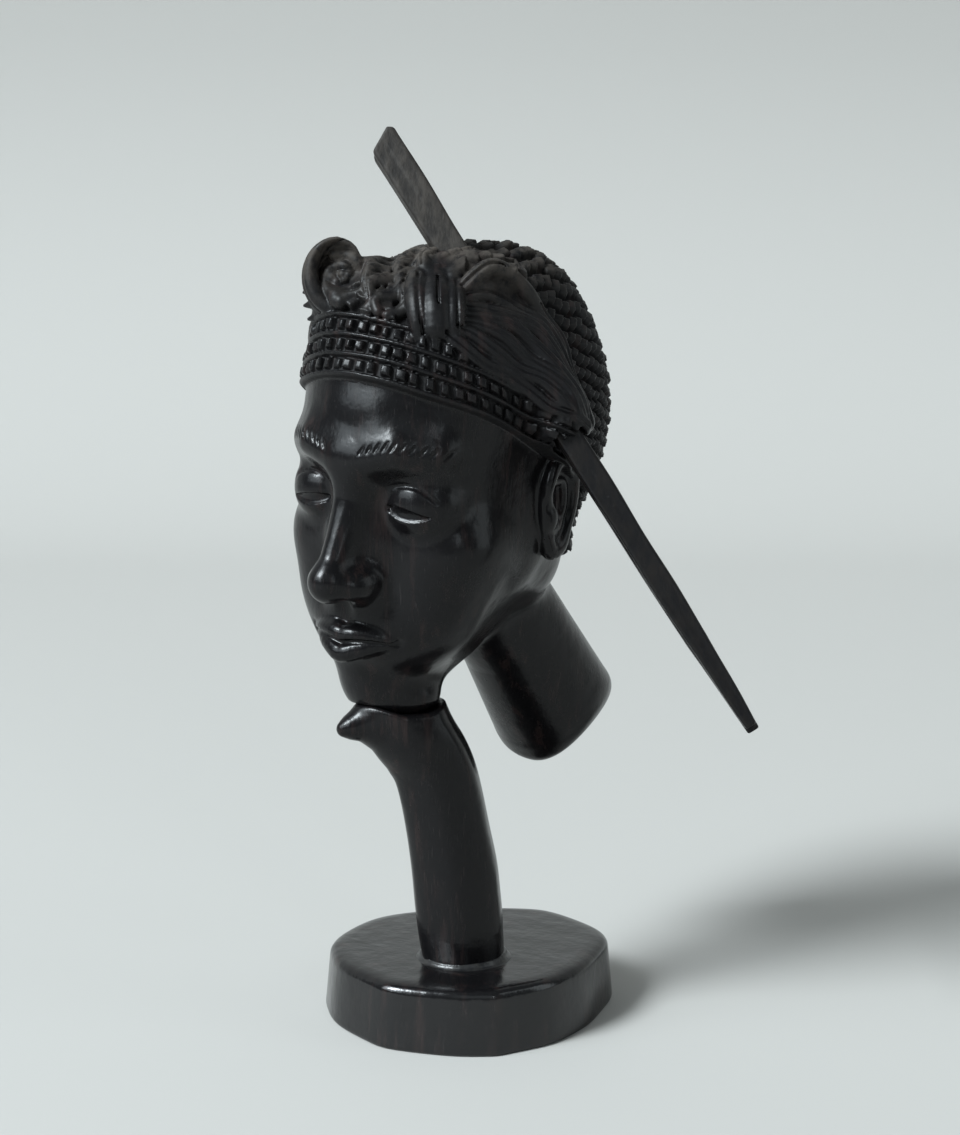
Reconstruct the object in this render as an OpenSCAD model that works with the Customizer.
// Carved blackwood head that rests by its chin on a curved stand, with a hairpin through its hair.
// Millimetres. +Z is up, the face looks to -Y and the head's left side is +X.
// The origin is on the underside of the base.

/* [Base] */
// Thickness of the base
base_h = 17; // [12:0.5:24]
// Radius of the base's soft corners
base_corner_r = 14; // [8:0.5:18]
// How far the top and bottom edges are rounded in
base_edge = 1.6; // [0.8:0.1:3]

/* [Column] */
// Radius of the column at its foot
column_r = 11.3; // [8:0.1:14]
// Height of the column's top, where the chin rests
column_top = 85.5; // [75:0.5:100]
// Direction in which the column leans, from -Y towards -X
column_turn = 33; // [0:1:60]
// Radius of the tenon that fits the base
tenon_r = 7; // [4:0.1:9]
// Length of the tenon
tenon_len = 11; // [6:0.5:13]
// Height of the ring of dried glue
glue_h = 1.4; // [0.6:0.1:3]

/* [Chin peg] */
// Radius of the dowel between the column and the chin
peg_r = 2.5; // [1.5:0.1:3.5]
// Length of the dowel
peg_len = 22; // [16:0.5:26]

/* [Head] */
// Height of the head's centre
head_z = 149; // [140:0.5:160]
// Forward nod of the head in degrees
head_nod = 5; // [0:1:12]
// Tilt of the crown to the head's left in degrees
head_tilt = 5; // [0:1:10]
// Half of the head's width over the hair
head_half_w = 37; // [32:0.5:42]
// Half of the head's depth over the hair
head_half_d = 44.5; // [40:0.5:52]
// Radius of the neck stub at its cut end
stub_r = 16.8; // [11:0.1:18]

/* [Hairpin] */
// Whole length of the hairpin
pin_len = 177; // [150:1:200]
// Width across the flats at the thick end
pin_thick = 8.7; // [6:0.1:10]
// Width across the flats where the point begins
pin_shoulder = 5.8; // [4.5:0.1:6]
// Width across the flats at the tip
pin_thin = 3.3; // [2:0.1:4]
// Length of the point
pin_point = 26; // [15:1:40]
// Gap between the hairpin's edges and its hole
pin_gap = 0.3; // [0.2:0.05:0.6]

/* [Hidden] */
$fn = 64;

// Corners of the base's outline: direction in degrees and reach from the origin
base_corners = [
    [-156, 39.5], [174, 39], [132, 36.5], [88, 40.5], [52, 42],
    [16, 36.5], [-20, 35.5], [-60, 36.5], [-92, 37.5], [-126, 38.5]
];
column_foot = [3.5, -8, base_h];

// Column sections: height, forward lean, half length along the lean, half width across it
column_sections = [
    [base_h, 0.0, column_r, column_r],
    [base_h + 3, 0.3, column_r - 0.2, column_r - 0.2],
    [28, 1.0, column_r, column_r],
    [37, 2.1, column_r, column_r],
    [45, 3.3, column_r - 0.2, column_r - 0.2],
    [54, 5.0, column_r - 0.5, column_r - 0.5],
    [63, 6.9, column_r - 0.6, column_r - 0.6],
    [70, 9.0, column_r - 0.4, column_r - 0.5],
    [75, 11.2, column_r - 0.2, column_r - 0.4],
    [79, 13.4, column_r - 0.2, column_r - 0.4],
    [82, 15.0, column_r - 0.6, column_r - 0.6],
    [column_top, 16.6, column_r - 1.4, column_r - 1.2]
];
column_sides = 32;
column_lean = 17.6;
beak_tip = [33.0, 0, column_top - 4.1];
beak_tip_r = 1.6;

lean_dir = [-sin(column_turn), -cos(column_turn), 0];
seat = column_foot + column_lean * lean_dir + [0, 0, column_top - base_h];
seat_gap = 0.1;
seat_cut = 60;
peg_fit = 0.05;
peg_low = seat - [0, 0, peg_len / 2 + 1];
// Headband: rows of beads on a plane that falls from the forehead to the nape
band_rows = 3;
band_pitch = 4.6;
band_gap = 0.8;
band_slope = 34;
band_reach = 58;
band_z = 27;
strands = 4;
stub_end = [7, 39, -77];
head_centre = [-5.5, 0.5, head_z];

// Hairpin axis: where it enters the crown, and its direction down to the tip
pin_entry = [4.5, -14.5, 202.6];
pin_dir = [0.553, 0.123, -0.824];
pin_proud = 36;
pin_roll = 20;
pin_tilt = acos(-pin_dir[2] / norm(pin_dir));
pin_azimuth = atan2(pin_dir[1], pin_dir[0]);

function reach_point(c) = (c[1] - base_corner_r) * [cos(c[0]), sin(c[0])];
function ring(s, n) = [
    for (i = [0 : n - 1])
        [s[1] + s[2] * cos(360 * i / n), s[3] * sin(360 * i / n), s[0]]
];

// A closed solid through level rings of n points each
module ring_loft(sections, n) {
    last = len(sections) - 1;
    points = [for (s = sections) each ring(s, n)];
    sides = [
        for (k = [0 : last - 1]) for (i = [0 : n - 1])
            let (j = (i + 1) % n)
            each [
                [k * n + i, (k + 1) * n + i, (k + 1) * n + j],
                [k * n + i, (k + 1) * n + j, k * n + j]
            ]
    ];
    bottom = [for (i = [0 : n - 1]) i];
    top = [for (i = [n - 1 : -1 : 0]) last * n + i];
    polyhedron(points, concat(sides, [bottom, top]), convexity = 4);
}

module ellipsoid(c, r) {
    translate(c) scale(r) sphere(r = 1, $fn = 40);
}

module base_outline(inset) {
    hull()
        for (c = base_corners)
            translate(reach_point(c)) circle(r = base_corner_r - inset, $fn = 40);
}

module base() {
    color([0.09, 0.07, 0.07])
    difference() {
        hull() {
            linear_extrude(base_h - 2 * base_edge)
                base_outline(base_edge / 2);
            translate([0, 0, base_edge])
                linear_extrude(base_h - 2 * base_edge) base_outline(0);
            linear_extrude(base_h) base_outline(base_edge);
        }
        translate([column_foot[0], column_foot[1], base_h - tenon_len])
            cylinder(r = tenon_r, h = tenon_len + 1);
    }
}

// Lean frame: origin at the column's foot on the table plane, +X along the lean
module lean_frame() {
    translate([column_foot[0], column_foot[1], 0])
        rotate(-90 - column_turn) children();
}

// Middle of the beak, where it starts to taper
module beak_middle() {
    ellipsoid([24, 0, column_top - 3.6], [5, 5.6, 5.4]);
}

module beak() {
    hull() {
        ellipsoid([17, 0, column_top - 5.5], [8, 8, 6.5]);
        beak_middle();
    }
    hull() {
        beak_middle();
        translate(beak_tip) sphere(r = beak_tip_r, $fn = 32);
    }
}

module column() {
    color([0.10, 0.08, 0.08])
    difference() {
        lean_frame() {
            ring_loft(column_sections, column_sides);
            translate([0, 0, base_h - tenon_len + seat_gap])
                cylinder(r = tenon_r, h = tenon_len);
            beak();
        }
        translate(peg_low) cylinder(r = peg_r, h = peg_len);
        translate(seat - [seat_cut / 2, seat_cut / 2, 0]) cube(seat_cut);
    }
}

module glue_bead() {
    color([0.35, 0.34, 0.32])
    translate([column_foot[0], column_foot[1], base_h])
        rotate_extrude()
            polygon([
                [column_r + 0.05, 0], [column_r + 1.6, 0],
                [column_r + 0.9, glue_h * 0.35], [column_r + 0.05, glue_h]
            ]);
}

module chin_peg() {
    color([0.45, 0.32, 0.2])
    translate(peg_low) cylinder(r = peg_r, h = peg_len);
}

// Head frame: origin at the head's centre, nodded and tilted
module head_frame() {
    translate(head_centre) rotate([head_nod, head_tilt, 0]) children();
}

// Skull and jaw as one smooth mass, grown outwards for the hair and the headband
module skull(grow) {
    g = [grow, grow, grow];
    hull() {
        ellipsoid([0, 4, 9], [head_half_w - 2, head_half_d - 2, 45.5] + g);
        ellipsoid([0, -6, 4], [head_half_w - 5, head_half_d - 4, 36] + g);
        ellipsoid([0, -26, -51.5], [13, 13, 11] + g);
        ellipsoid([0, -18, -38], [21, 22, 14] + g);
        ellipsoid([0, -9, -24], [29, 26, 14] + g);
    }
}

// Tilted frame of the headband: origin on the forehead, at the band's lower edge
module band_frame() {
    translate([0, -head_half_d, band_z]) rotate([-band_slope, 0, 0]) children();
}

module headband() {
    intersection() {
        skull(2);
        band_frame()
            for (row = [0 : band_rows - 1])
                translate([-60, -20, row * band_pitch])
                    cube([120, 20 + band_reach, band_pitch - band_gap]);
    }
}

module hair() {
    intersection() {
        skull(3);
        band_frame() {
            translate([-60, -20, band_rows * band_pitch]) cube([120, 160, 80]);
            translate([-60, band_reach, 0]) cube([120, 80, 80]);
        }
    }
}

module neck_stub() {
    hull() {
        ellipsoid([0, 4, -30], [19, 20, 14]);
        translate(stub_end) rotate([36, 6, 0])
            cylinder(r = stub_r, h = 5, center = true);
    }
}

module ear(side) {
    translate([side * (head_half_w - 3.5), 0, -14]) rotate([12, 0, side * 16])
        ellipsoid([0, 0, 0], [3.5, 8.5, 16]);
}

module nose() {
    hull() {
        ellipsoid([0, -40, 0], [3, 5, 8]);
        ellipsoid([0, -46, -22], [7.5, 9, 4.5]);
    }
}

// A roll of hair over the forehead and a bundle of strands beside it
module front_curl() {
    translate([-7, -31, 45]) rotate([90, 0, 76])
        rotate_extrude() translate([7.5, 0]) circle(r = 6);
}

module strand_bundle() {
    for (i = [0 : strands - 1])
        translate([8 + i * 3.2, -28 + i * 1.6, 36 - i]) rotate([80, 0, 62])
            rotate_extrude() translate([9.5, 0]) circle(r = 2.2);
}

module head() {
    color([0.07, 0.06, 0.07])
    difference() {
        head_frame() {
            skull(0);
            hair();
            headband();
            neck_stub();
            nose();
            ear(1);
            ear(-1);
            front_curl();
            strand_bundle();
        }
        translate(seat + [-seat_cut / 2, -seat_cut / 2, seat_gap - seat_cut]) cube(seat_cut);
        translate(peg_low) cylinder(r = peg_r + peg_fit, h = peg_len + 1);
        pin_frame() pin_shape(pin_gap, 64);
    }
}

// Pin frame: origin at the pin's thick end, +Z along the pin down to the tip
module pin_frame() {
    translate(pin_entry - pin_proud * pin_dir / norm(pin_dir))
        rotate([0, 0, pin_azimuth]) rotate([0, 180 - pin_tilt, 0]) children();
}

// The pin's taper and point, or with a gap and many sides the hole that takes them
module pin_shape(gap, sides) {
    waist = pin_len - pin_point;
    cylinder(
        r1 = pin_thick / sqrt(2) + gap,
        r2 = pin_shoulder / sqrt(2) + gap,
        h = waist, $fn = sides
    );
    translate([0, 0, waist])
        cylinder(
            r1 = pin_shoulder / sqrt(2) + gap,
            r2 = pin_thin / sqrt(2) + gap,
            h = pin_point, $fn = sides
        );
}

module hairpin() {
    color([0.22, 0.18, 0.16])
    pin_frame() rotate(pin_roll) pin_shape(0, 4);
}

base();
column();
glue_bead();
chin_peg();
head();
hairpin();
